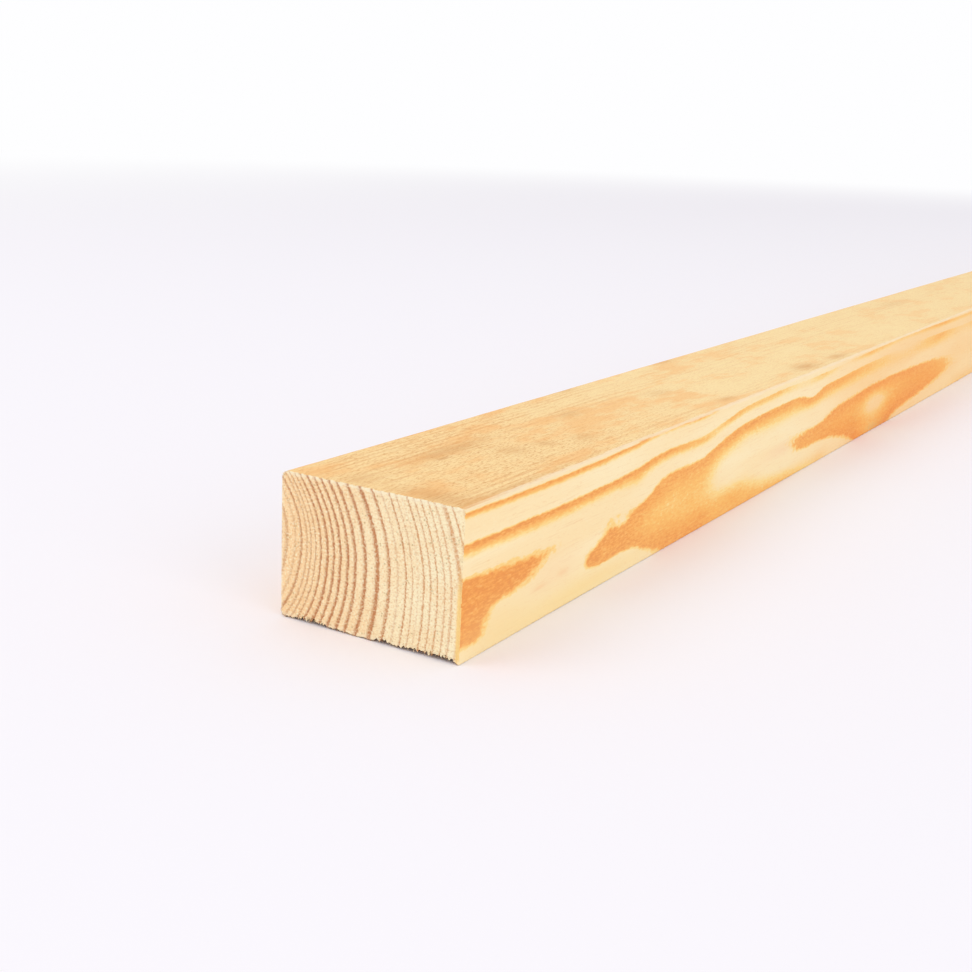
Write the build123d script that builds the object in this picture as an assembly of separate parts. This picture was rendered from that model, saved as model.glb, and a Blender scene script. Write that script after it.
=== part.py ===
from build123d import *
import os

# One piece of sawn softwood, lying flat on its wider face.
# Millimetres. X runs across the section, Y along the length, Z up.
# The origin is under the middle of the piece, in the plane of the bottom face.
# Left and right are as seen by someone facing the end at -Y.

# Stock size
section_width = 70.0
section_height = 50.0
stock_length = 2400.0

# Radius of each long arris: the left ones are worn round, the right ones are nearly sharp
top_left_radius = 3.0
bottom_left_radius = 2.6
top_right_radius = 0.9
bottom_right_radius = 0.5

# Sides of the section, as signs along X, and its levels, as shares of the height
LEFT, RIGHT = -1, 1
BOTTOM, TOP = 0, 1


def corner(outline, side, level):
    """The vertex of the outline at one corner of the section."""
    point = Vector(side * section_width / 2, level * section_height)
    return outline.vertices().sort_by_distance(point)[0]


def section():
    """The cross section, centred on X = 0 and standing on Z = 0, with its four rounded corners."""
    outline = Rectangle(section_width, section_height, align=(Align.CENTER, Align.MIN))
    outline = fillet(corner(outline, LEFT, TOP), top_left_radius)
    outline = fillet(corner(outline, LEFT, BOTTOM), bottom_left_radius)
    outline = fillet(corner(outline, RIGHT, TOP), top_right_radius)
    outline = fillet(corner(outline, RIGHT, BOTTOM), bottom_right_radius)
    return outline


def plank():
    """The whole piece: the section carried along Y, cut square at both ends."""
    return extrude(Plane.XZ * section(), amount=stock_length / 2, both=True)


os.makedirs("parts", exist_ok=True)
piece = plank()
piece.label = "plank"
export_step(piece, "parts/plank.step")
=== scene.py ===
import math

import bpy
import numpy as np
from mathutils import Matrix, Vector


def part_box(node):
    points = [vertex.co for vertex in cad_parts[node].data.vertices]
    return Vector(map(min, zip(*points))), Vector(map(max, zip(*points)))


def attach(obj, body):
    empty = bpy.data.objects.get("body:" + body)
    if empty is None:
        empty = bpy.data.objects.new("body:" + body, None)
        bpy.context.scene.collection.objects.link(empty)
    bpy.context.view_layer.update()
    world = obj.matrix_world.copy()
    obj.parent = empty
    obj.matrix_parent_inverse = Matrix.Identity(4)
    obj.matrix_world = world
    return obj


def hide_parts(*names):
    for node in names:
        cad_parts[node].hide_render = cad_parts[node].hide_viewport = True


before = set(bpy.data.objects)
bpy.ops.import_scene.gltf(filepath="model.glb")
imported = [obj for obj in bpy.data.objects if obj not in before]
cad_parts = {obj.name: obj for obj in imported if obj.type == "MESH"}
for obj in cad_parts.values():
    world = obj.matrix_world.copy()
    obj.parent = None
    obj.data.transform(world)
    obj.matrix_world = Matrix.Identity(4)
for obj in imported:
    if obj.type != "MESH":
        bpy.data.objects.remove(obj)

# One piece of sawn softwood. Sizes are in millimetres, and MM turns them into metres. Three
# distances place everything in the wood: across (X) from the left face, along (Y) from the
# near sawn end, and up (Z) from the bottom.
MM = 0.001
NODE = "plank"
LOW, HIGH = (Vector(corner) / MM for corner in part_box(NODE))
WIDTH, LENGTH, HEIGHT = HIGH - LOW
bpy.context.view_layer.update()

# Radius of each long arris, as seen by someone facing the near end
RADIUS_BOTTOM_LEFT = 2.6
RADIUS_BOTTOM_RIGHT = 0.5
RADIUS_TOP_RIGHT = 0.9
RADIUS_TOP_LEFT = 3

# Mesh: quads across and up, and how much they crowd towards the corners
ACROSS, UP = 156, 112
SIDE_QUADS = (ACROSS, UP, ACROSS, UP)
CROWDING = 0.4
# Distances from each end of the rings of points around its rim and torn underside
RIM_STEPS = (0.0, 0.65, 0.95, 1.4, 2.1, 3.2, 4.6, 6.6, 9.0)
# Spacing of the rings beyond them, near an end, further in and elsewhere, and where it changes
NEAR_STEP, MID_STEP, LONG_STEP = 3.5, 7, 22
NEAR_REACH, MID_REACH = 60, 200
# Depth of the long faces' waves and of the arrises' wear, and the stretch in which they set in
FACE_WAVE, ARRIS_WEAR = 0.14, 0.22
WAVE_EASE, WEAR_EASE = 60, 10
# Each wave's length, turn around the section and share, and the turn for each mm across and up
FACE_WAVES = [(310, 1, 1), (127, -1.3, 0.6), (780, 0, 0.4)]
WAVE_TURN = (0.007, 0.01)
# Length of the waves of wear along each arris
WEAR_LENGTHS = (31, 47, 38, 26)
# How many waves make up a random curve, and the seeds of the random draws
RIPPLE_WAVES = 5
BODY_SEED, FIBRE_SEED, TEAR_SEED = 41, 7, 90


# Small numeric helpers

def smooth_step(low, high, value):
    """0 below low, 1 above high, and a smooth rise between them."""
    share = np.clip((value - low) / (high - low), 0, 1)
    return share * share * (3 - 2 * share)


def ripple(rng, value, wavelength):
    """A smooth random curve of value, between about -1 and 1."""
    total = np.zeros_like(value, dtype=float)
    for _ in range(RIPPLE_WAVES):
        length = wavelength * rng.uniform(0.6, 1.7)
        total += np.sin(2 * np.pi * (value / length + rng.random())) * rng.uniform(0.5, 1)
    return total / (1.2 * math.sqrt(RIPPLE_WAVES))


# The outline of the section

def side_shares(count):
    """Shares of the way along one side, closer together near its two corners."""
    share = np.linspace(0, 1, count + 1)
    return share - CROWDING * np.sin(2 * np.pi * share) / (2 * np.pi)


def side_points(start, end, start_radius, end_radius, count):
    """One side of the section, from the middle of one rounded corner to the middle of the next.
    Returns its points and their outward directions."""
    start, end = np.array(start, float), np.array(end, float)
    run = np.linalg.norm(end - start)
    along = (end - start) / run
    out = np.array([along[1], -along[0]])
    first_arc, last_arc = start_radius * math.pi / 4, end_radius * math.pi / 4
    straight = run - start_radius - end_radius
    reach = side_shares(count) * (first_arc + straight + last_arc)
    points, outward = [], []
    for distance in reach:
        angle, radius = 0, 0
        centre = start + along * (start_radius + distance - first_arc)
        if distance < first_arc:
            angle, radius = distance / start_radius - math.pi / 4, start_radius
            centre = start + (along - out) * radius
        elif distance > first_arc + straight:
            angle, radius = (distance - first_arc - straight) / end_radius, end_radius
            centre = end - (along + out) * radius
        outward.append(out * math.cos(angle) + along * math.sin(angle))
        points.append(centre + outward[-1] * radius)
    return np.array(points), np.array(outward)


def section_sides():
    """The four sides of the section, anticlockwise as seen from the near end: bottom, right,
    top and left."""
    corners = [(0, 0), (WIDTH, 0), (WIDTH, HEIGHT), (0, HEIGHT)]
    radii = [RADIUS_BOTTOM_LEFT, RADIUS_BOTTOM_RIGHT, RADIUS_TOP_RIGHT, RADIUS_TOP_LEFT]
    ends = zip(corners, corners[1:] + corners[:1], radii, radii[1:] + radii[:1], SIDE_QUADS)
    return [side_points(*end) for end in ends]


class Shape:
    """A mesh in the making: its points, its faces and each face's corners on the texture map."""

    def __init__(self):
        self.points, self.faces, self.maps = [], [], []
        self.count = 0

    def add_points(self, points):
        """Adds a list of points and returns their numbers."""
        numbers = self.count + np.arange(len(points))
        self.points.append(np.asarray(points, float))
        self.count += len(points)
        return numbers

    def add_face(self, corners, places):
        self.faces.append(tuple(int(c) for c in corners))
        self.maps.append(places)


# The texture map: four strips for the long faces, one above the other, and the two ends
# side by side above them

MAP_GAP = 0.006
# Height of the strips of the bottom, right, top and left faces
STRIP_HIGH = (0.168, 0.122, 0.168, 0.122)


def strip_places():
    """The lower edge of each strip on the map, and of the ends above them."""
    edges, base = [], MAP_GAP
    for high in STRIP_HIGH:
        edges.append(base)
        base += high + MAP_GAP
    return edges, base


STRIP_BASE, ENDS_BASE = strip_places()


def strip_place(side, share, along):
    """Where a point of a long face lies on the map."""
    across = MAP_GAP + (1 - 2 * MAP_GAP) * along / LENGTH
    return (across, STRIP_BASE[side] + STRIP_HIGH[side] * share)


def end_place(far, across, up):
    """Where a point of a sawn end lies on the map."""
    wide = 0.5 - 1.5 * MAP_GAP
    left = MAP_GAP + far * (wide + MAP_GAP)
    high = min(1 - ENDS_BASE - MAP_GAP, wide * HEIGHT / WIDTH)
    return (left + wide * across / WIDTH, ENDS_BASE + high * up / HEIGHT)


# The sawn ends: where the saw left the end face and how its rim is torn

# How far behind the end's plane the saw cut, its slow waves (depth and length), the blade's
# centre from the lower left corner, and the depth and spacing of its marks
SAW_BACK = 0.36
SAW_WAVES = ((0.05, 38), (0.04, 23))
BLADE_ACROSS, BLADE_UP = 112, -108
MARK_DEPTH, MARK_SPACING = 0.03, 1.9
# Roughness of the sawn face, and how much further back its rim lies
GRIT, RIM_BACK = 0.05, 0.08
# Greatest height of the bottom rim's tear, and how many times as high it is just behind
TEAR_HIGH = 2.1
UNDER_LIFT = 1.15
# Stretch of the bottom rim that stayed nearly whole, and how softly it starts and stops
WHOLE_FROM, WHOLE_TO, WHOLE_EASE = 29, 37, 4
# How rare long teeth are along the rim, and the share of the tear that they span
TOOTH_RARITY, TOOTH_SPAN = 2.5, 0.85
# Torn fibres of each end: on the bottom rim, behind it, on the top edge and at the left corners
BOTTOM_FIBRES, HIDDEN_FIBRES, TOP_FIBRES = 120, 300, 120
LOW_CORNER_FIBRES, TOP_CORNER_FIBRES = 46, 30
# How far they stay inside the section
SKIN = 0.02


def saw_depth(rng, across, up):
    """How far the sawn face lies behind the plane of the end."""
    (first, first_length), (second, second_length) = SAW_WAVES
    wide = first * ripple(rng, across + 0.6 * up, first_length)
    wide += second * ripple(rng, up - 0.4 * across, second_length)
    blade = np.hypot(across - BLADE_ACROSS, up - BLADE_UP)
    marks = MARK_DEPTH * np.sin(2 * np.pi * blade / MARK_SPACING)
    return SAW_BACK + wide + marks * (0.6 + 0.4 * ripple(rng, blade, 9))


def tear_height(far, across):
    """How high the bottom rim of a sawn end is torn up."""
    rng = np.random.default_rng(TEAR_SEED + far)
    height = 0.62 + 0.3 * ripple(rng, across, 21) + 0.2 * ripple(rng, across, 5)
    right_part = 0.9 + 0.3 * smooth_step(30, 45, across)
    whole = smooth_step(WHOLE_FROM - WHOLE_EASE, WHOLE_FROM, across)
    whole *= 1 - smooth_step(WHOLE_TO, WHOLE_TO + WHOLE_EASE, across)
    height = TEAR_HIGH * np.clip(height * right_part, 0.25, 1) * (1 - 0.8 * whole)
    return height * smooth_step(0, 5, across) * smooth_step(0, 2.5, WIDTH - across)


def rim_rings(rng, sides, far):
    """The rings of points near one end. Each ring is one array per side, of across, up and
    distance from the end."""
    rings = []
    lift = tear_height(far, sides[0][0][:, 0])
    teeth = rng.random(len(lift)) ** TOOTH_RARITY
    ragged = [
        np.abs(ripple(rng, np.arange(len(points)) * 0.45, 2.6)) + 0.6 * rng.random(len(points)) ** 2
        for points, _ in sides
    ]
    for step, distance in enumerate(RIM_STEPS):
        ring = []
        for side, (points, outward) in enumerate(sides):
            # the rim is nibbled all along, and the ring behind it a little
            nibble = (0.12 + 0.26 * ragged[side]) * (step == 0) + 0.1 * ragged[side] * (step == 1)
            place_2d = points - outward * nibble[:, None]
            back = np.full(len(points), distance)
            if side == 0:
                if step == 0:
                    place_2d[:, 1] += lift * (1 - TOOTH_SPAN * teeth)
                else:
                    place_2d[:, 1] += lift * UNDER_LIFT * (1 - (distance / RIM_STEPS[-1]) ** 2)
                    back += lift * 0.5 * (1 - distance / RIM_STEPS[-1])
            ring.append(np.column_stack([place_2d, back]))
        rings.append(ring)
    return rings


def join_corners(ring):
    """Makes neighbouring sides of a ring share the middle point of each corner."""
    for side in range(4):
        after = (side + 1) % 4
        middle = (ring[side][-1] + ring[after][0]) / 2
        ring[side][-1] = ring[after][0] = middle
    return ring


def flat_ring(ring):
    """A ring's points in one list, without the repeated corner points."""
    return np.concatenate([side[:-1] for side in ring])


def end_grid(ring):
    """The points of an end face, spread evenly between the four sides of its rim."""
    bottom, right, top, left = ring[0], ring[1], ring[2][::-1], ring[3][::-1]
    u = side_shares(ACROSS)[:, None, None]
    v = side_shares(UP)[None, :, None]
    grid = (1 - v) * bottom[:, None] + v * top[:, None]
    grid = grid + (1 - u) * left[None] + u * right[None]
    grid = grid - (1 - u) * (1 - v) * bottom[0] - u * (1 - v) * bottom[-1]
    return grid - (1 - u) * v * top[0] - u * v * top[-1]


def settle(grid):
    """Eases each row and column of an end's grid from the uneven rim to a straight line a few
    quads in."""
    flat = grid.copy()
    u, v = side_shares(ACROSS), side_shares(UP)
    left = RADIUS_BOTTOM_LEFT * 0.3
    flat[..., 0] = left + u[:, None] * (WIDTH - left)
    flat[..., 1] = v[None, :] * HEIGHT
    rows = np.minimum(np.arange(ACROSS + 1), np.arange(ACROSS, -1, -1))
    columns = np.minimum(np.arange(UP + 1), np.arange(UP, -1, -1))
    away = smooth_step(2, 9, np.minimum.outer(rows, columns))[..., None]
    return grid * (1 - away) + flat * away


def grid_edge_numbers():
    """Where the rim's points lie in an end's grid, in order."""
    bottom = [(i, 0) for i in range(ACROSS)]
    right = [(ACROSS, k) for k in range(UP)]
    top = [(ACROSS - i, UP) for i in range(ACROSS)]
    left = [(0, UP - k) for k in range(UP)]
    return bottom + right + top + left


def place(points, far):
    """Turns across, up and distance from an end into the object's own X, Y and Z, in metres."""
    along = LENGTH - points[:, 2] if far else points[:, 2]
    return np.column_stack([LOW.x + points[:, 0], LOW.y + along, LOW.z + points[:, 1]]) * MM


def add_end(shape, ring, rng, far):
    """Adds one sawn end. Returns the numbers of the points of its rim."""
    grid = settle(end_grid(ring))
    depth = saw_depth(rng, grid[..., 0], grid[..., 1])
    grit = rng.random(depth.shape) * GRIT
    edge = np.zeros(depth.shape)
    edge[[0, -1], :] = 1
    edge[:, [0, -1]] = 1
    grid[..., 2] = depth + grit + RIM_BACK * edge
    number = shape.add_points(place(grid.reshape(-1, 3), far)).reshape(depth.shape)
    for i in range(ACROSS):
        for k in range(UP):
            cells = [(i, k), (i + 1, k), (i + 1, k + 1), (i, k + 1)]
            if far:
                cells.reverse()
            places = [end_place(far, *grid[c][:2]) for c in cells]
            shape.add_face([number[c] for c in cells], places)
    return np.array([number[c] for c in grid_edge_numbers()])


# The long faces

def side_table(step):
    """For every step-th point of a ring: its side, its share of the way along that side, and
    the share of the next one."""
    table = []
    for side, count in enumerate(SIDE_QUADS):
        shares = side_shares(count)
        table += [(side, shares[i], shares[min(i + step, count)]) for i in range(0, count, step)]
    return table


def add_band(shape, near, far):
    """Joins two rings by faces. Each is its points' numbers, its distance along the piece and
    its step, which is 2 where it keeps every second point."""
    (near_ring, near_y, near_step), (far_ring, far_y, far_step) = near, far
    (fine, fine_y, _), (coarse, coarse_y, _) = (near, far) if near_step < far_step else (far, near)
    for i, (side, share, next_share) in enumerate(side_table(max(near_step, far_step))):
        after = (i + 1) % len(coarse)
        if near_step == far_step:
            polygons = [[
                (near_ring[i], share, near_y), (far_ring[i], share, far_y),
                (far_ring[after], next_share, far_y), (near_ring[after], next_share, near_y),
            ]]
        else:
            shares = (share, (share + next_share) / 2, next_share)
            p = [(fine[(2 * i + k) % len(fine)], s, fine_y) for k, s in enumerate(shares)]
            q = [(coarse[i], share, coarse_y), (coarse[after], next_share, coarse_y)]
            polygons = [[p[0], q[0], p[1]], [p[1], q[0], q[1]], [p[1], q[1], p[2]]]
            if near_step > far_step:
                polygons = [polygon[::-1] for polygon in polygons]
        for polygon in polygons:
            places = [strip_place(side, s, y) for _, s, y in polygon]
            shape.add_face([number for number, _, _ in polygon], places)


def stations():
    """How far along the piece the rings between the two rims lie."""
    near = np.arange(RIM_STEPS[-1] + NEAR_STEP, NEAR_REACH, NEAR_STEP)
    middle = np.arange(near[-1] + MID_STEP, MID_REACH, MID_STEP)
    start = np.concatenate([near, middle])
    count = int((LENGTH - 2 * start[-1]) / LONG_STEP)
    between = np.linspace(start[-1], LENGTH - start[-1], count + 1)[1:-1]
    return np.concatenate([start, between, LENGTH - start[::-1]])


def long_rings(rng, sides):
    """The rings of points between the two rims. The faces were sawn nearly flat, and the
    rounded arrises are worn unevenly."""
    around = np.concatenate([points[:-1:2] for points, _ in sides])
    outward = np.concatenate([normals[:-1:2] for _, normals in sides])
    corner = smooth_step(0.05, 0.6, np.minimum(np.abs(outward[:, 0]), np.abs(outward[:, 1])))
    phase = around @ np.array(WAVE_TURN)
    spin = rng.uniform(0, 1, 3)
    along = stations()
    wear = np.abs([ripple(rng, along, length) for length in WEAR_LENGTHS])
    quarter = (outward[:, 0] > 0) * 1 + (outward[:, 1] > 0) * 2
    rings = []
    for i, y in enumerate(along):
        wave = np.zeros(len(around))
        for (length, turn, share), start in zip(FACE_WAVES, spin):
            wave += share * np.sin(2 * np.pi * (y / length + turn * phase + start))
        inside = min(y, LENGTH - y) - RIM_STEPS[-1]
        depth = FACE_WAVE * (0.5 + wave / 4) * smooth_step(0, WAVE_EASE, inside)
        marked = ARRIS_WEAR * corner * wear[quarter, i]
        depth = depth + marked * smooth_step(0, WEAR_EASE, inside)
        rings.append(around - outward * np.clip(depth, 0, None)[:, None])
    return along, rings


def add_body(shape):
    """The whole piece: both sawn ends with their rims, and the long faces between them."""
    rng = np.random.default_rng(BODY_SEED)
    sides = section_sides()
    last_rim = {}
    for far in (False, True):
        rings = [join_corners(ring) for ring in rim_rings(rng, sides, far)]
        numbers = [add_end(shape, rings[0], rng, far)]
        numbers += [shape.add_points(place(flat_ring(ring), far)) for ring in rings[1:]]
        distances = [LENGTH - d if far else d for d in RIM_STEPS]
        steps = [(ring, distance, 1) for ring, distance in zip(numbers, distances)]
        for first, second in zip(steps, steps[1:]):
            add_band(shape, *((second, first) if far else (first, second)))
        last_rim[far] = steps[-1]
    before = last_rim[False]
    for along, ring in zip(*long_rings(rng, sides)):
        points = np.column_stack([ring, np.full(len(ring), along)])
        following = (shape.add_points(place(points, False)), along, 2)
        add_band(shape, before, following)
        before = following
    add_band(shape, before, last_rim[True])


# Torn fibres: slim closed spikes around the edges of the cut

def add_fibre(shape, root, tip, thickness, far):
    """One fibre, a slim three-sided spike from root to tip."""
    root, tip = np.array(root, float), np.array(tip, float)
    along = tip - root
    aside = np.cross(along, [0.3, 0.2, 1])
    aside /= np.linalg.norm(aside)
    other = np.cross(along, aside)
    other /= np.linalg.norm(other)
    turns = [2 * math.pi * i / 3 for i in range(3)]
    base = [root + thickness * (aside * math.cos(a) + other * math.sin(a)) for a in turns]
    points = np.clip(base + [tip], SKIN, [WIDTH - SKIN, HEIGHT - SKIN, LENGTH])
    numbers = shape.add_points(place(points, far))
    spot = end_place(far, *np.clip(root[:2], 0, (WIDTH, HEIGHT)))
    centre = points.mean(axis=0)
    for a, b, c in [(0, 2, 1), (0, 1, 3), (1, 2, 3), (2, 0, 3)]:
        normal = np.cross(points[b] - points[a], points[c] - points[a])
        outward = np.dot(normal, points[a] - centre) > 0
        # across, up and distance from the near end form a left-handed set of axes
        order = (a, b, c) if outward == far else (a, c, b)
        shape.add_face([numbers[i] for i in order], [spot] * 3)


def bottom_fibres(shape, rng, far):
    """Fibres that hang down in front of the torn underside."""
    for _ in range(BOTTOM_FIBRES):
        across = rng.uniform(3.5, WIDTH - 0.8)
        height = tear_height(far, across)
        root_up = height + rng.uniform(0.15, 0.4)
        hang = rng.uniform(0.1, 1) ** 2 * (height + 0.2) + 0.2
        root = (across, root_up, 0.62)
        tip_up = max(0.04, root_up - hang)
        tip = (across + rng.uniform(-0.4, 0.4), tip_up, rng.uniform(0.08, 0.6))
        add_fibre(shape, root, tip, rng.uniform(0.08, 0.2), far)


def hidden_fibres(shape, rng, far):
    """Fibres that hang from the torn underside, behind the bottom rim."""
    # these fibres lie in the painted shade of the torn underside, which colours them dark brown
    for _ in range(HIDDEN_FIBRES):
        across = rng.uniform(3.5, WIDTH - 1.5)
        inward = rng.uniform(1.1, 4.5)
        gap = UNDER_LIFT * (1 - (inward / RIM_STEPS[-1]) ** 2) * tear_height(far, across)
        root = (across, gap + 0.15, inward)
        lean = rng.uniform(-0.5, 0.5)
        tip = (across + lean, gap * rng.uniform(0, 0.3), inward - rng.uniform(-0.3, 0.1))
        add_fibre(shape, root, tip, rng.uniform(0.15, 0.35), far)


def corner_fibres(shape, rng, far, up_at, radius, count):
    """Short fibres around a rounded left corner of the cut."""
    inward = np.sign(HEIGHT / 2 - up_at)
    for _ in range(count):
        angle = rng.uniform(0, math.pi / 2)
        out = np.array([-math.cos(angle), -inward * math.sin(angle)])
        centre = np.array([radius, up_at + inward * radius])
        skin = centre + out * (radius - 0.35)
        room = 0.9 * (radius * (1 / max(math.cos(angle), math.sin(angle)) - 1))
        tip = centre + out * (radius + min(room, rng.uniform(0, 0.45)) - 0.02)
        tip = tip + rng.uniform(-0.05, 0.05, 2) * (room > 0.1)
        add_fibre(shape, (*skin, 0.7), (*tip, rng.uniform(0.1, 0.5)), rng.uniform(0.05, 0.11), far)


def top_fibres(shape, rng, far):
    """Short fibres that stand on the top edge of the cut."""
    for _ in range(TOP_FIBRES):
        across = rng.uniform(3.2, WIDTH - 1.2)
        root = (across, HEIGHT - 0.75, 0.55)
        lean = rng.uniform(-0.25, 0.25)
        tip = (across + lean, HEIGHT - rng.uniform(0.05, 0.3), rng.uniform(0.08, 0.4))
        add_fibre(shape, root, tip, rng.uniform(0.06, 0.14), far)


def add_fibres(shape):
    """The torn fibres of both ends."""
    rng = np.random.default_rng(FIBRE_SEED)
    for far in (False, True):
        bottom_fibres(shape, rng, far)
        hidden_fibres(shape, rng, far)
        corner_fibres(shape, rng, far, 0, RADIUS_BOTTOM_LEFT, LOW_CORNER_FIBRES)
        corner_fibres(shape, rng, far, HEIGHT, RADIUS_TOP_LEFT, TOP_CORNER_FIBRES)
        top_fibres(shape, rng, far)


def mark_rims(mesh):
    """Keeps the shading crisp where a sawn end meets the long faces."""
    normals = np.zeros(len(mesh.polygons) * 3)
    mesh.polygons.foreach_get("normal", normals)
    faces_end = np.abs(normals.reshape(-1, 3)[:, 1]) > 0.7
    kinds = {}
    for polygon in mesh.polygons:
        for key in polygon.edge_keys:
            kinds.setdefault(key, set()).add(bool(faces_end[polygon.index]))
    sharp = mesh.attributes.new("sharp_edge", "BOOLEAN", "EDGE")
    flags = [len(kinds[tuple(sorted(edge.vertices))]) > 1 for edge in mesh.edges]
    sharp.data.foreach_set("value", flags)


def make_plank():
    """Builds the piece as one object, in the place of its CAD node."""
    shape = Shape()
    add_body(shape)
    add_fibres(shape)
    mesh = bpy.data.meshes.new("timber")
    mesh.from_pydata(np.concatenate(shape.points).tolist(), [], shape.faces)
    layer = mesh.uv_layers.new(name="OFBake")
    layer.data.foreach_set("uv", np.array([c for face in shape.maps for c in face]).ravel())
    mesh.polygons.foreach_set("use_smooth", [True] * len(mesh.polygons))
    mesh.update()
    mark_rims(mesh)
    return add_object("timber", mesh)


class Nodes:
    """Adds nodes to a material. Each method adds what its name says and returns its output."""

    def __init__(self, tree):
        self.tree = tree

    def node(self, kind, **settings):
        made = self.tree.nodes.new(kind)
        for name, value in settings.items():
            setattr(made, name, value)
        return made

    def feed(self, socket, value):
        if isinstance(value, bpy.types.NodeSocket):
            self.tree.links.new(value, socket)
        else:
            socket.default_value = value

    def math(self, operation, *values, clamp=False):
        made = self.node("ShaderNodeMath", operation=operation, use_clamp=clamp)
        for socket, value in zip(made.inputs, values):
            self.feed(socket, value)
        return made.outputs[0]

    def plus(self, *values):
        result = values[0]
        for value in values[1:]:
            result = self.math("ADD", result, value)
        return result

    def times(self, *values):
        result = values[0]
        for value in values[1:]:
            result = self.math("MULTIPLY", result, value)
        return result

    def minus(self, first, second):
        return self.math("SUBTRACT", first, second)

    def line(self, value, slope, start):
        """Value times slope, plus start."""
        return self.math("MULTIPLY_ADD", value, slope, start)

    def weighted(self, *pairs):
        """The sum of values, each times its weight."""
        return self.plus(*[self.times(value, weight) for value, weight in pairs])

    def rise(self, value, low, high, out_low=0, out_high=1):
        """A smooth change from out_low to out_high as value goes from low to high."""
        made = self.node("ShaderNodeMapRange", interpolation_type="SMOOTHSTEP")
        for socket, given in zip(made.inputs, (value, low, high, out_low, out_high)):
            self.feed(socket, given)
        return made.outputs[0]

    def curve(self, value, points, domain, reach, handles="VECTOR"):
        """A drawn curve through points, whose inputs span domain and outputs span reach."""
        span, rise = domain[1] - domain[0], reach[1] - reach[0]
        share = self.math("DIVIDE", self.minus(value, domain[0]), span)
        made = self.node("ShaderNodeFloatCurve")
        line = made.mapping.curves[0]
        while len(line.points) < len(points):
            line.points.new(0.5, 0.5)
        for point, (x, y) in zip(line.points, points):
            point.location = ((x - domain[0]) / span, (y - reach[0]) / rise)
            point.handle_type = handles
        made.mapping.update()
        self.feed(made.inputs["Value"], share)
        return self.line(made.outputs[0], rise, reach[0])

    def parts(self, vector):
        """The x, y and z of a vector."""
        made = self.node("ShaderNodeSeparateXYZ")
        self.feed(made.inputs[0], vector)
        return made.outputs

    def vector(self, x, y, z):
        made = self.node("ShaderNodeCombineXYZ")
        for socket, value in zip(made.inputs, (x, y, z)):
            self.feed(socket, value)
        return made.outputs[0]

    def noise(self, where, sizes, detail=2, rough=0.5, shift=0):
        """Smooth noise between 0 and 1, whose lumps are about sizes long along x, y and z."""
        scaled = [self.math("DIVIDE", v, s) for v, s in zip(where, sizes)]
        scaled[1] = self.plus(scaled[1], shift)
        made = self.node("ShaderNodeTexNoise")
        self.feed(made.inputs["Vector"], self.vector(*scaled))
        for name, value in (("Scale", 1), ("Detail", detail), ("Roughness", rough)):
            made.inputs[name].default_value = value
        return made.outputs["Fac"]

    def cells(self, where, sizes):
        """Distance to the nearest of many scattered points, about sizes apart."""
        scaled = [self.math("DIVIDE", v, s) for v, s in zip(where, sizes)]
        made = self.node("ShaderNodeTexVoronoi", feature="F1")
        self.feed(made.inputs["Vector"], self.vector(*scaled))
        made.inputs["Scale"].default_value = 1
        return made.outputs["Distance"]

    def hill(self, place_and_size):
        """1 at a point, falling smoothly to 0 around it. Each item of place_and_size is a
        distance, the hill's place along it and its half width."""
        falls = []
        for distance, centre, half in place_and_size:
            off = self.math("DIVIDE", self.minus(distance, centre), half)
            falls.append(self.times(off, off))
        return self.math("POWER", math.e, self.times(self.plus(*falls), -1))

    def mix(self, share, first, second, blend="MIX"):
        made = self.node("ShaderNodeMix", data_type="RGBA", blend_type=blend, clamp_factor=True)
        self.feed(made.inputs[0], share)
        self.feed(made.inputs[6], first)
        self.feed(made.inputs[7], second)
        return made.outputs[2]

    def mix_value(self, share, first, second):
        return self.line(share, self.minus(second, first), first)

    def ramp(self, value, stops):
        made = self.node("ShaderNodeValToRGB")
        elements = made.color_ramp.elements
        while len(elements) < len(stops):
            elements.new(0.5)
        for element, (position, colour) in zip(elements, stops):
            element.position = position
            element.color = colour
        self.feed(made.inputs[0], value)
        return made.outputs["Color"]

    def seen(self):
        """1 for rays of the camera, reflections and clear things, 0 for others."""
        path = self.node("ShaderNodeLightPath")
        seen = self.math("MAXIMUM", path.outputs["Is Camera Ray"], path.outputs["Is Glossy Ray"])
        return self.math("MAXIMUM", seen, path.outputs["Is Transmission Ray"])


def screen(red, green, blue):
    """A colour as it looks on screen, 0 to 255, as the linear value that nodes take."""
    def linear(level):
        level /= 255
        return level / 12.92 if level <= 0.04045 else ((level + 0.055) / 1.055) ** 2.4
    return (linear(red), linear(green), linear(blue), 1)


def make_material(name):
    """A new material, with its nodes and its shader."""
    material = bpy.data.materials.new(name)
    material.use_nodes = True
    return material, Nodes(material.node_tree), material.node_tree.nodes["Principled BSDF"]


def add_object(name, data):
    """A new object in the scene."""
    thing = bpy.data.objects.new(name, data)
    bpy.context.collection.objects.link(thing)
    return thing


# The growth rings. Their centre, the pith, lies off the left face at the near end.
PITH_ACROSS = -28
PITH_UP_LEFT, PITH_UP_RIGHT = 28.2, 17.1
STRETCH_ABOVE, STRETCH_BELOW = 1.45, 0.81

# How far the pith has come towards the piece, by distance along
DRIFT = [
    (0, 0), (25, -0.15), (45, -0.25), (62, -0.28), (80, -0.22), (100, -0.1), (118, 0.1),
    (134, 0.65), (150, 0.85), (175, 0.85), (190, 1.05), (203, 1.75), (225, 2.15), (250, 2.35),
    (280, 2.75), (310, 3.1), (350, 3.4), (400, 3.75), (437, 3.9), (480, 3.85), (560, 3.5),
    (600, 3.2), (660, 2.9), (760, 3.6), (900, 5.4), (1050, 7.6), (1200, 8.8), (1350, 8.2),
    (1500, 6.9), (1700, 6.4), (1900, 8), (2150, 10.2), (2400, 11.5),
]
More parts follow.
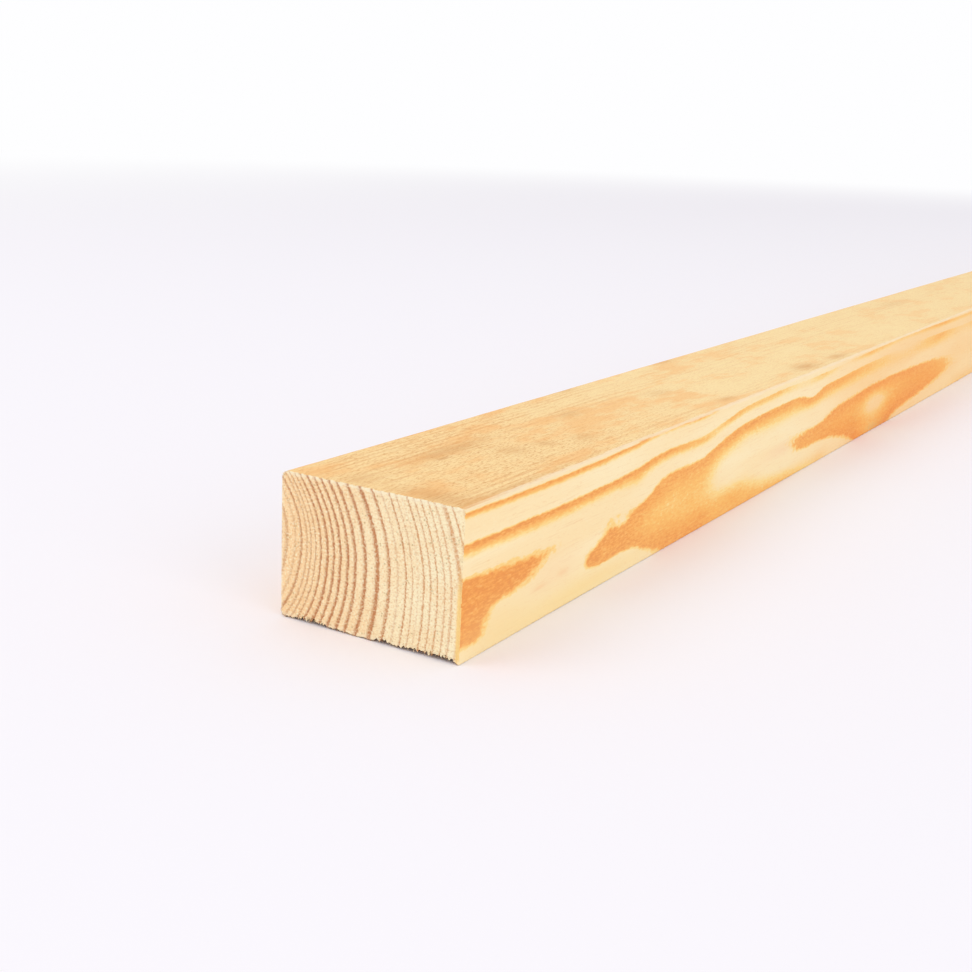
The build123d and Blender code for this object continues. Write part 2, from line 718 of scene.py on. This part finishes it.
# How far the pith's level has risen, by distance along
LEVEL = [
    (0, 0.5), (150, 0.4), (200, -0.5), (240, 1.5), (300, 0.5), (360, -0.2), (400, 0.2),
    (560, 1.5), (700, 2.5), (900, 5), (1150, 3), (1400, -2), (1650, -4), (1900, 0),
    (2150, 3.5), (2400, 2),
]
# How strongly the latewood is coloured on the long faces, by distance along
STRENGTH = [
    (0, 1), (60, 1), (110, 0.95), (150, 0.88), (190, 0.88), (225, 0.9), (300, 0.87),
    (400, 0.92), (540, 0.95), (650, 0.8), (900, 0.9), (1400, 0.85), (2000, 0.92), (2400, 0.9),
]
# Bends of the rings under the right face: along, up, half length, half height, and how far
# they push the rings out
SWELLS = [
    (12, 28, 28, 4, -0.18), (42, 22, 9, 2.6, -0.06), (8, 6, 8, 3, -0.2), (22, 12, 8, 4, 0.25),
    (38, 10, 18, 7, 0.7), (56, 19, 9, 4, 0.25), (62, 15, 18, 6, 0.4), (70, 16, 11, 7, 0.35),
    (88, 23, 20, 4.5, 0.45), (84, 17, 10, 3.5, 0.35), (92, 19, 9, 4, 0.3), (77, 11, 7, 5, 0.45),
    (98, 11.5, 12, 2.6, -0.55), (111, 20.5, 9, 3, 0.45), (116, 3, 34, 7, 0.8),
    (128, 28, 17, 8, 0.85), (214, 21, 13, 7, -0.45), (240, 30, 20, 4, -0.4),
    (222, 8, 28, 6.5, 0.95), (300, 1, 60, 7, 0.9), (325, 37, 15, 5, 1),
    (318, 14.5, 14, 4, -0.16), (335, 23, 24, 4, 0.4), (350, 5, 30, 6, 0.45),
    (442, 16, 22, 6.5, -0.75), (440, 1, 36, 6, -1.1), (1010, 30, 60, 9, -0.9),
    (1580, 22, 80, 8, 0.8), (2050, 33, 50, 7, -0.7),
]
# Pale places in the right face's latewood: along, up, half length, half height and strength
PALE_PLACES = [
    (190, 42, 24, 3.5, 0.65), (245, 48, 40, 5, 0.6), (310, 46, 40, 4, 0.85),
    (380, 46, 50, 5, 0.95), (500, 43, 100, 10.5, 1), (650, 34, 80, 20, 0.9),
]

# Outer edge of each ring, as a distance from the left face at the pith's level, the share of
# the ring that is latewood, and how dark that is
RINGS = [
    (3.2, 0.62, 0.45), (6.4, 0.3, 0.3), (9, 0.42, 0.75), (11.2, 0.4, 0.45),
    (12.8, 0.45, 0.55), (14.7, 0.36, 0.6), (16.9, 0.42, 0.85), (19.7, 0.44, 0.92),
    (22.2, 0.42, 0.86), (24.9, 0.43, 1), (27.9, 0.42, 0.88), (30.9, 0.46, 0.84),
    (34.9, 0.38, 0.88), (39.8, 0.38, 0.98), (44, 0.34, 0.8), (47, 0.26, 0.34),
    (50.1, 0.27, 0.8), (52.5, 0.28, 0.55), (54.5, 0.26, 0.22), (56.7, 0.36, 0.78),
    (59.2, 0.3, 0.62), (61.7, 0.3, 0.7), (64.4, 0.28, 0.56), (66.9, 0.36, 0.56),
    (70.6, 0.44, 0.66), (73.2, 0.33, 0.7), (76.9, 0.18, 0.5), (79.6, 0.3, 0.7),
    (82.4, 0.32, 0.7),
]
# Width, share of latewood and darkness of the rings inside the first listed one, and how
# many of them are numbered
INNER_RING, INNER_LATE, INNER_DARK = 2.5, 0.34, 0.7
INNER_RINGS = 12
# The share of its darkness that the latewood keeps at a ring's outer edge
EDGE_KEEP = 0.32


class Grain:
    """What the wood's colour and relief depend on, as node outputs."""

    def __init__(self, n):
        coords = n.node("ShaderNodeTexCoord").outputs
        apart = n.parts(coords["Object"])
        self.where = [n.line(metres, 1 / MM, -low) for metres, low in zip(apart, LOW)]
        self.x, self.y, self.z = self.where
        _, facing_end, facing_up = n.parts(coords["Normal"])
        # 1 on the two sawn ends, 1 on the top face, and 1 in the right part of the wood
        self.end = n.rise(n.math("ABSOLUTE", facing_end), 0.55, 0.8)
        self.top = n.rise(facing_up, 0.45, 0.85)
        self.right = n.rise(self.x, 35, 65)
        self.depth = self.ring_depth(n)
        self.share, self.late, self.dark = self.rings(n)
        self.strength = n.curve(self.y, STRENGTH, (0, LENGTH), (0, 1), "AUTO_CLAMPED")

    def ring_depth(self, n):
        """Distance from the pith, less that of the left face at the near end."""
        drift = n.curve(self.y, DRIFT, (0, LENGTH), (-2, 14), "AUTO_CLAMPED")
        level = n.curve(self.y, LEVEL, (0, LENGTH), (-6, 6), "AUTO_CLAMPED")
        slope = (PITH_UP_RIGHT - PITH_UP_LEFT) / WIDTH
        up = n.plus(n.line(self.x, slope, PITH_UP_LEFT), level)
        rise = n.minus(self.z, up)
        above = n.math("GREATER_THAN", rise, 0)
        stretch = n.line(above, STRETCH_ABOVE - STRETCH_BELOW, STRETCH_BELOW)
        across = n.minus(n.minus(self.x, PITH_ACROSS), drift)
        square = n.plus(n.times(across, across), n.times(stretch, rise, rise))
        distance = n.plus(n.math("SQRT", square), PITH_ACROSS)
        # the rings waver, by the size of the lumps, how far they move a ring and where: slow
        # waves, fine ones, tears on the ends and ragged edges on the right face
        waver = [
            ((11, 42, 8), 0.5, n.mix_value(self.right, 1, 0.25)),
            ((2.4, 16, 2.2), 0.3, n.mix_value(self.right, 1, 0.6)),
            ((1, 40, 0.9), 1.1, self.end),
            ((3, 3.2, 2), 0.32, self.right),
        ]
        for turn, (sizes, amount, share) in enumerate(waver):
            lumps = n.noise(self.where, sizes, shift=31 * turn)
            lumps = n.line(lumps, amount, -amount / 2)
            distance = n.plus(distance, n.times(lumps, share))
        swell = 0
        for along, up_at, long, high, push in SWELLS:
            hill = n.hill([(self.y, along, long), (self.z, up_at, high)])
            swell = n.line(hill, push, swell)
        return n.plus(distance, n.times(swell, self.right))

    def rings(self, n):
        """How far out in its ring a point lies, how much of that ring is latewood and how
        dark that is."""
        first_edge = RINGS[0][0]
        last = INNER_RINGS + len(RINGS) - 1
        edges = [(edge, INNER_RINGS + i) for i, (edge, _, _) in enumerate(RINGS)]
        listed = n.curve(self.depth, edges, (first_edge, RINGS[-1][0]), (INNER_RINGS, last))
        inner = n.math("DIVIDE", n.minus(self.depth, first_edge), INNER_RING)
        inner = n.plus(inner, INNER_RINGS)
        index = n.mix_value(n.math("LESS_THAN", self.depth, first_edge), listed, inner)
        number = n.math("FLOOR", index)
        share = n.minus(index, number)
        span = (INNER_RINGS - 1, last)
        lates = [(INNER_RINGS - 1 + i, late) for i, (_, late, _) in enumerate(RINGS)]
        darks = [(INNER_RINGS - 1 + i, dark) for i, (_, _, dark) in enumerate(RINGS)]
        inside = n.math("LESS_THAN", number, INNER_RINGS - 1.5)
        late = n.mix_value(inside, n.curve(number, lates, span, (0, 1)), INNER_LATE)
        dark = n.mix_value(inside, n.curve(number, darks, span, (0, 1)), INNER_DARK)
        return share, late, dark


def latewood(n, grain, soft, sharp):
    """How dark a point is: a gradual rise outward through the ring, and a quick fall at its
    outer edge."""
    start = n.minus(1, n.times(grain.late, 1 + soft))
    full = n.minus(1, n.times(grain.late, 1 - soft))
    rise = n.rise(grain.share, start, full)
    fall = n.rise(grain.share, 1 - sharp, 1, 1, EDGE_KEEP)
    begin = n.rise(grain.share, 0, sharp * 0.8, EDGE_KEEP, 0)
    return n.math("MAXIMUM", n.times(rise, fall), begin)


# Colours of the sawn ends. A ring's pale and dark part each change from left to right.
END_EARLY = screen(255, 219, 167), screen(255, 240, 199)
END_LATE = screen(192, 124, 78), screen(212, 144, 88)
END_PATCH = screen(248, 208, 152)
CRUMB, PIT, SPECK = screen(255, 247, 214), screen(218, 164, 108), screen(184, 160, 106)
BLADE_DARK, BLADE_PALE = screen(214, 158, 106), screen(255, 245, 212)
# the first of these is broken fibre on the top rim, lightened as painted highlight
TOP_RIM_FIBRE_HIGHLIGHT, RIGHT_EDGE, RIM_FUZZ = screen(255, 242, 208), screen(255, 216, 136), screen(255, 241, 208)
# Direction of the blade's fine marks
MARK_RUN, MARK_RISE = 0.98, 0.2


def end_colour(n, grain):
    """The colour and relief of the sawn ends."""
    x, y, z = grain.where
    torn = n.noise(grain.where, (0.9, 40, 0.8), detail=3, rough=0.65)
    grit = n.noise(grain.where, (0.75, 40, 0.65), rough=0.7, shift=14)
    dark = n.times(n.math("POWER", latewood(n, grain, 0.55, 0.1), 1.5), grain.dark)
    dark = n.math("MULTIPLY", dark, n.rise(torn, 0.34, 0.6, 0.55, 1.3), clamp=True)
    early = n.mix(n.rise(x, 2, 60), *END_EARLY)
    patch = n.noise(grain.where, (14, 40, 10), shift=5)
    early = n.mix(n.rise(patch, 0.35, 0.7, 0, 0.35), early, END_PATCH)
    late = n.mix(n.rise(x, 30, 66), *END_LATE)
    colour = n.mix(dark, early, late)
    # crumbs and pits that the saw tore, and the faint marks of its blade
    bare = n.line(dark, -0.75, 1)
    colour = n.mix(n.times(n.rise(grit, 0.52, 0.66, 0, 0.8), bare), colour, CRUMB)
    colour = n.mix(n.rise(grit, 0.34, 0.47, 0.5, 0), colour, PIT)
    run = n.line(z, MARK_RISE, n.times(x, MARK_RUN))
    rise = n.line(x, -MARK_RISE, n.times(z, MARK_RUN))
    blade = n.noise((run, y, rise), (2.6, 400, 0.75), shift=2)
    colour = n.mix(n.rise(blade, 0.54, 0.74, 0, 0.35), colour, BLADE_DARK)
    colour = n.mix(n.times(n.rise(blade, 0.26, 0.44, 0.4, 0), bare), colour, BLADE_PALE)
    dots = n.cells((run, y, rise), (1.7, 400, 1.4))
    chance = n.noise(grain.where, (3, 40, 3), detail=1, shift=9)
    speck = n.times(n.rise(dots, 0.12, 0.26, 1, 0), n.rise(chance, 0.42, 0.56))
    colour = n.mix(n.times(speck, 0.5), colour, SPECK)
    # pale broken fibres along the top edge, partly painted highlight where the rim catches light,
    # and the yellow latewood along the right edge
    ragged = n.noise(grain.where, (1.3, 40, 1.3), shift=3)
    pale = n.rise(n.line(ragged, -2.4, n.minus(HEIGHT, z)), -0.9, 0.5, 1, 0)
    pale = n.times(pale, n.line(dark, -0.85, 1))
    colour = n.mix(n.times(pale, 0.85), colour, TOP_RIM_FIBRE_HIGHLIGHT)
    band = n.rise(n.line(ragged, 0.6, n.minus(WIDTH, x)), 1.3, 2.3, 1, 0)
    yellow = n.times(band, n.rise(z, 20, 32, 1, 0.15))
    colour = n.mix(n.times(yellow, 0.85), colour, RIGHT_EDGE)
    # pale fuzz along the left and bottom edges
    rim = n.math("MINIMUM", x, n.times(z, 0.5))
    fuzz = n.rise(n.line(ragged, -1.6, rim), -0.7, 0.5, 0.6, 0)
    colour = n.mix(n.times(fuzz, bare), colour, RIM_FUZZ)
    relief = n.weighted((torn, 0.16), (grit, 0.2), (blade, 0.12), (dark, 0.06), (speck, -0.08))
    return colour, relief


# Colours of the long faces, from the palest wood to the darkest latewood
FACE_STOPS = [
    (0, screen(255, 237, 193)), (0.22, screen(255, 226, 154)), (0.5, screen(254, 201, 116)),
    (0.8, screen(250, 178, 95)), (1, screen(240, 158, 83)),
]
# Tints laid over them: the tan further in, slow changes of tone, fibres and fuzz
FACE_TAN, FACE_TONE = screen(255, 231, 204), screen(250, 214, 150)
FIBRE, FUZZ_PALE, FUZZ_DARK = screen(226, 160, 96), screen(255, 243, 208), screen(232, 168, 104)
# Stains and other patches on the right face: along, up, half length, half height, strength and
# colour. The first is a brown patch along the lower arris
SIDE_PATCHES = [
    (452, 0, 24, 5, 0.75, (196, 142, 98)), (500, 17, 26, 4, 0.25, (222, 140, 78)),
    (402, 11, 9, 7, 0.3, (222, 140, 78)), (345, 2, 12, 3, 0.35, (250, 190, 112)),
    (285, 17, 22, 3.5, 0.4, (250, 205, 160)), (80, 3, 62, 6, 0.6, (253, 226, 158)),
    (22, 7, 24, 9, 0.5, (252, 220, 154)), (60, 15, 18, 7, 0.35, (252, 216, 170)),
    (66, 13, 4, 1.2, 0.35, (246, 190, 132)), (50, 12, 5, 0.9, 0.35, (246, 190, 132)),
]


def face_colour(n, grain):
    """The colour and relief of the long faces, which show some rings nearly flat on."""
    fibre = n.noise(grain.where, (0.5, 20, 0.5), detail=3, rough=0.6)
    fuzz = n.noise(grain.where, (0.8, 2.4, 0.7), detail=3, rough=0.6, shift=17)
    dark = latewood(n, grain, 0.75, 0.05)
    dark = n.times(dark, n.line(grain.dark, 0.35, 0.68), grain.strength)
    gone = 0
    for along, up_at, long, high, amount in PALE_PLACES:
        hill = n.hill([(grain.y, along, long), (grain.z, up_at, high)])
        gone = n.math("MAXIMUM", n.times(hill, amount), gone)
    dark = n.times(dark, n.line(n.times(gone, grain.right), -1, 1))
    lively = n.line(fibre, 0.8, n.line(fuzz, 2.4, -1.6))
    dark = n.math("ADD", dark, n.times(lively, dark, 0.5), clamp=True)
    colour = n.ramp(dark, FACE_STOPS)
    # the wood is a warmer tan further in from the near end
    warm = n.rise(grain.y, 280, 430, 0, 0.65)
    colour = n.mix(warm, colour, FACE_TAN, "MULTIPLY")
    tone = n.noise(grain.where, (16, 120, 14), shift=12)
    colour = n.mix(n.rise(tone, 0.35, 0.7, 0, 0.22), colour, FACE_TONE, "MULTIPLY")
    colour = n.mix(n.rise(fibre, 0.54, 0.78, 0, 0.24), colour, FIBRE)
    light = n.times(n.rise(fuzz, 0.26, 0.44, 0.25, 0), n.rise(dark, 0.1, 0.5, 1, 0.25))
    colour = n.mix(light, colour, FUZZ_PALE)
    colour = n.mix(n.rise(fuzz, 0.58, 0.76, 0, 0.25), colour, FUZZ_DARK)
    # the patches show most on the pale wood
    open_wood = n.times(n.rise(grain.x, WIDTH - 6, WIDTH - 1), n.rise(dark, 0.1, 0.5, 1, 0.3))
    for along, up_at, long, high, amount, tint in SIDE_PATCHES:
        spread = n.hill([(grain.y, along, long), (grain.z, up_at, high)])
        colour = n.mix(n.times(spread, open_wood, amount), colour, screen(*tint))
    return colour, n.weighted((fibre, 0.06), (fuzz, 0.04), (dark, 0.02))


# Smudges and darker marks on the top face: across, along, half width, half length and strength. The
# fifth and sixth darken the top along the near end's edge
TOP_MARKS = [
    (26, 60, 4.5, 22, 0.55), (31, 48, 1, 3, 0.8), (46, 92, 3.5, 4, 0.4), (43, 74, 6, 6, 0.35),
    (55, 6, 14, 7, 0.5), (26, 8, 6, 8, 0.35), (28, 143, 4, 9, 0.3), (52, 112, 4, 7, 0.3),
    (64, 222, 2.5, 8, 0.4), (62, 333, 5, 13, 0.55), (64, 379, 4, 12, 0.45), (3, 187, 2.5, 8, 0.4),
    (3, 290, 3, 12, 0.4), (67.5, 22, 1.6, 45, 0.45), (36, 212, 5, 10, 0.25),
    (20, 650, 6, 30, 0.2), (52, 900, 5, 22, 0.25), (12, 1180, 5, 26, 0.25), (45, 1500, 7, 24, 0.2),
    (22, 1830, 5, 18, 0.3), (58, 2150, 5, 28, 0.25),
]
# Colours of the top face, whose darker tan is partly painted shade, of the painted highlight on the
# top right arris and of the painted shade on the torn underside
TOP_NEAR, TOP_FAR = screen(255, 221, 160), screen(255, 226, 168)
TOP_RING, TOP_FIBRE = screen(226, 156, 84), screen(227, 158, 86)
TOP_PIT, TOP_NAP = screen(212, 144, 78), screen(255, 230, 174)
TOP_TAN, TOP_PALE = screen(250, 184, 110), screen(255, 229, 172)
TOP_MARK, PALE_ARRIS_HIGHLIGHT, UNDER_SHADE = screen(216, 154, 88), screen(254, 232, 196), screen(150, 98, 64)


def top_colour(n, grain):
    """Colour and relief of the top face: rougher, tanned and soiled by handling, and a darker tan
    than the sides, partly painted shade.
    """
    x, y, _ = grain.where
    fibre = n.noise(grain.where, (0.6, 11, 0.6), detail=3, rough=0.65, shift=4)
    pits = n.noise(grain.where, (0.5, 2.4, 0.5), detail=3, rough=0.7, shift=8)
    cloud = n.noise(grain.where, (15, 42, 20), detail=3, rough=0.6, shift=6)
    streaks = n.noise(grain.where, (5, 60, 20), shift=19)
    # the rings show as thin broken lines, mostly in the left part and near the cut
    dark = n.times(latewood(n, grain, 0.5, 0.12), grain.dark)
    seen = n.plus(n.rise(x, 22, 34, 0.42, 0.22), n.rise(x, 55, 62, 0, 0.25))
    dark = n.times(dark, seen, n.rise(streaks, 0.4, 0.6, 0.1, 1.15), n.rise(y, 90, 260, 1, 0.45))
    near = n.rise(y, 60, 220, 1, 0.4)
    # painted shade: these base colours make the top a darker tan than the long faces' palest wood
    colour = n.mix(n.rise(y, 80, 260), TOP_NEAR, TOP_FAR)
    colour = n.mix(dark, colour, TOP_RING)
    colour = n.mix(n.times(n.rise(fibre, 0.48, 0.72, 0, 0.58), near), colour, TOP_FIBRE)
    colour = n.mix(n.times(n.rise(pits, 0.52, 0.65, 0, 0.72), near), colour, TOP_PIT)
    colour = n.mix(n.rise(pits, 0.3, 0.46, 0.55, 0), colour, TOP_NAP)
    blotch = n.times(n.rise(cloud, 0.47, 0.66, 0, 0.5), n.rise(y, 200, 500, 1, 0.55))
    colour = n.mix(blotch, colour, TOP_TAN)
    colour = n.mix(n.rise(cloud, 0.28, 0.46, 0.4, 0), colour, TOP_PALE)
    rough_edge = n.line(fibre, 1.2, 0.4)
    for across, along, wide, long, amount in TOP_MARKS:
        spread = n.hill([(x, across, wide), (y, along, long)])
        colour = n.mix(n.times(spread, rough_edge, amount), colour, TOP_MARK)
    return colour, n.weighted((fibre, 0.08), (pits, 0.13))


def make_wood():
    """The unfinished softwood, as one solid material: the same rings run through every face."""
    material, n, shader = make_material("sawn_softwood")
    grain = Grain(n)
    side, side_relief = face_colour(n, grain)
    top, top_relief = top_colour(n, grain)
    end, end_relief = end_colour(n, grain)
    # painted highlight: the top right arris is painted pale over its pale earlywood, for the light
    # that its rounding catches
    from_side = n.minus(WIDTH, grain.x)
    reach = n.math("MAXIMUM", from_side, n.minus(HEIGHT, grain.z))
    arris_ragged = n.noise(grain.where, (0.8, 9, 0.8), shift=21)
    marked = n.rise(n.line(arris_ragged, -2.2, reach), -0.6, 0.4, 1, 0)
    marked = n.times(marked, n.rise(grain.y, 3, 30, 0.3, 1))
    colour = n.mix(grain.top, side, top)
    colour = n.mix(n.times(marked, 0.75), colour, PALE_ARRIS_HIGHLIGHT)
    colour = n.mix(grain.end, colour, end)
    # painted shade: the torn underside behind the two cuts, with the fibres that hang from it, is
    # painted dark brown for the shade in the recess under the torn rim
    inside = n.math("MINIMUM", grain.y, n.minus(LENGTH, grain.y))
    aside = n.math("MINIMUM", grain.x, from_side)
    under_shade = n.times(n.rise(inside, 0.75, 1), n.rise(inside, 7, 12, 0.85, 0))
    under_shade = n.times(under_shade, n.rise(grain.z, 2.3, 3, 1, 0), n.rise(aside, 0.6, 1.4))
    colour = n.mix(under_shade, colour, UNDER_SHADE)
    relief = n.mix_value(grain.top, side_relief, top_relief)
    relief = n.mix_value(grain.end, relief, end_relief)
    n.feed(shader.inputs["Base Color"], colour)
    # the dense latewood is a little smoother
    n.feed(shader.inputs["Roughness"], n.rise(grain.share, 0.5, 1, 0.8, 0.68))
    shader.inputs["Specular IOR Level"].default_value = 0.25
    bump = n.node("ShaderNodeBump")
    bump.inputs["Distance"].default_value = MM
    n.feed(bump.inputs["Height"], relief)
    n.feed(shader.inputs["Normal"], bump.outputs[0])
    return material


# Floor, light and camera. These distances are in metres.

FLOOR_COLOUR = screen(251, 248, 253)
BACKDROP_COLOUR = screen(254, 254, 255)
FADE_FROM, FADE_TO = 0.7, 3.4
FLOOR_REACH = 40.0
SKY_LEVEL = 0.86
# Each lamp: name, place from the point it is aimed at, width and power in watts. That point
# lies AIM_ALONG in from the near end.
LAMPS = [("key", (-1.5, -1.9, 2.6), 2.2, 17), ("fill", (3.2, -1.2, 1.5), 2.4, 16)]
AIM_ALONG = 0.25


def make_floor_material():
    """Pale cloth-white, which fades into the backdrop far from the piece."""
    material, n, shader = make_material("pale_floor")
    shader.inputs["Base Color"].default_value = FLOOR_COLOUR
    shader.inputs["Roughness"].default_value = 1
    shader.inputs["Specular IOR Level"].default_value = 0
    x, y, _ = n.parts(n.node("ShaderNodeTexCoord").outputs["Object"])
    beyond = n.math("MAXIMUM", n.minus(n.math("ABSOLUTE", y), LENGTH * MM / 2), 0)
    away = n.math("SQRT", n.plus(n.times(x, x), n.times(beyond, beyond)))
    fade = n.rise(away, FADE_FROM, FADE_TO)
    glow = n.node("ShaderNodeEmission")
    glow.inputs["Color"].default_value = BACKDROP_COLOUR
    blend = n.node("ShaderNodeMixShader")
    n.feed(blend.inputs[0], n.times(fade, n.seen()))
    n.feed(blend.inputs[1], shader.outputs[0])
    n.feed(blend.inputs[2], glow.outputs[0])
    n.feed(material.node_tree.nodes["Material Output"].inputs["Surface"], blend.outputs[0])
    return material


def make_floor():
    """A wide pale floor under the piece."""
    mesh = bpy.data.meshes.new("floor")
    corners = [(x * FLOOR_REACH, y * FLOOR_REACH, LOW.z * MM)
               for x, y in ((-1, -1), (1, -1), (1, 1), (-1, 1))]
    mesh.from_pydata(corners, [], [(0, 1, 2, 3)])
    mesh.materials.append(make_floor_material())
    floor = add_object("floor", mesh)


def make_lamp(name, offset, size, power):
    """A wide round lamp, aimed at the near part of the piece."""
    lamp = bpy.data.lights.new(name, "AREA")
    lamp.shape = "DISK"
    lamp.size = size
    lamp.energy = power
    holder = add_object(name, lamp)
    aim = Vector((0, LOW.y * MM + AIM_ALONG, 0))
    holder.location = aim + Vector(offset)
    holder.rotation_euler = (aim - holder.location).to_track_quat("-Z", "Y").to_euler()


def make_light():
    """Even light from all round, and a wide soft lamp from each side."""
    world = bpy.data.worlds.new("studio")
    bpy.context.scene.world = world
    world.use_nodes = True
    n = Nodes(world.node_tree)
    sky = world.node_tree.nodes["Background"]
    sky.inputs["Color"].default_value = BACKDROP_COLOUR
    n.feed(sky.inputs["Strength"], n.line(n.seen(), 1 - SKY_LEVEL, SKY_LEVEL))
    for lamp in LAMPS:
        make_lamp(*lamp)


# Camera, low and to the right of the near end: its place from the near, bottom, left corner,
# its lens and its frame in millimetres, and its turns in radians
CAMERA_AT = (271.3, -326.4, 160)
CAMERA_TURN = 0.53724
CAMERA_TILT = 0.26149
CAMERA_ROLL = 0.04805
LENS, FRAME_WIDTH = 50, 36


def make_camera():
    data = bpy.data.cameras.new("camera")
    data.lens = LENS
    data.sensor_width = FRAME_WIDTH
    camera = add_object("camera", data)
    turn = Matrix.Rotation(CAMERA_TURN, 4, "Z")
    tilt = Matrix.Rotation(math.pi / 2 - CAMERA_TILT, 4, "X")
    roll = Matrix.Rotation(CAMERA_ROLL, 4, "Z")
    spot = (Vector(CAMERA_AT) + LOW) * MM
    camera.matrix_world = Matrix.Translation(spot) @ turn @ tilt @ roll
    bpy.context.scene.camera = camera


plank = make_plank()
plank.data.materials.append(make_wood())
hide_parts(NODE)
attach(plank, "root")
make_floor()
make_light()
make_camera()
bpy.context.scene.view_settings.view_transform = "Standard"
